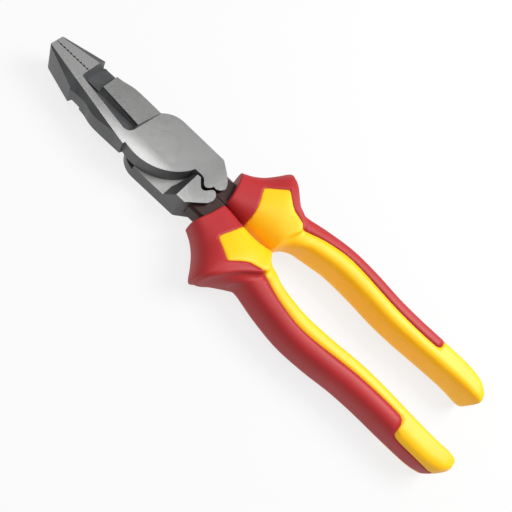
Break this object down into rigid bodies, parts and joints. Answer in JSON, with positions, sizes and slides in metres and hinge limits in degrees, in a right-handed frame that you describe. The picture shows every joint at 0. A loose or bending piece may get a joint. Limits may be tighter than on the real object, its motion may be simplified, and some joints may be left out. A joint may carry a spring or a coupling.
{
  "type": "lineman pliers",
  "caption": "Heavy-duty insulated lineman's pliers with flat toothed nose, side cutters, rear crimping nest and two-colour guarded handles.",
  "frame": {"origin": "on the pivot axis, at the flat back face of the head", "axes": "+X to the right seen from the front, +Y towards the jaw tips, +Z along the pivot out of the front face"},
  "size_m": [0.0708, 0.237, 0.022],
  "materials": {
    "forged_steel": "ground faces, black oxide elsewhere",
    "rivet_steel": "ground flush",
    "yellow_plastic": "satin moulded",
    "red_grip": "soft satin moulded"
  },
  "bodies": {
    "back_half": {"back_lever": "forged_steel", "pivot_rivet": "rivet_steel", "left_handle_core": "yellow_plastic", "left_handle_grip": "red_grip"},
    "front_half": {"front_lever": "forged_steel", "right_handle_core": "yellow_plastic", "right_handle_grip": "red_grip"}
  },
  "joints": [
    {"name": "jaw_pivot", "type": "hinge", "parent": "back_half", "child": "front_half", "pos_m": [0, 0, 0.0075], "axis": [0, 0, 1], "range_deg": [0, 32]}
  ]
}
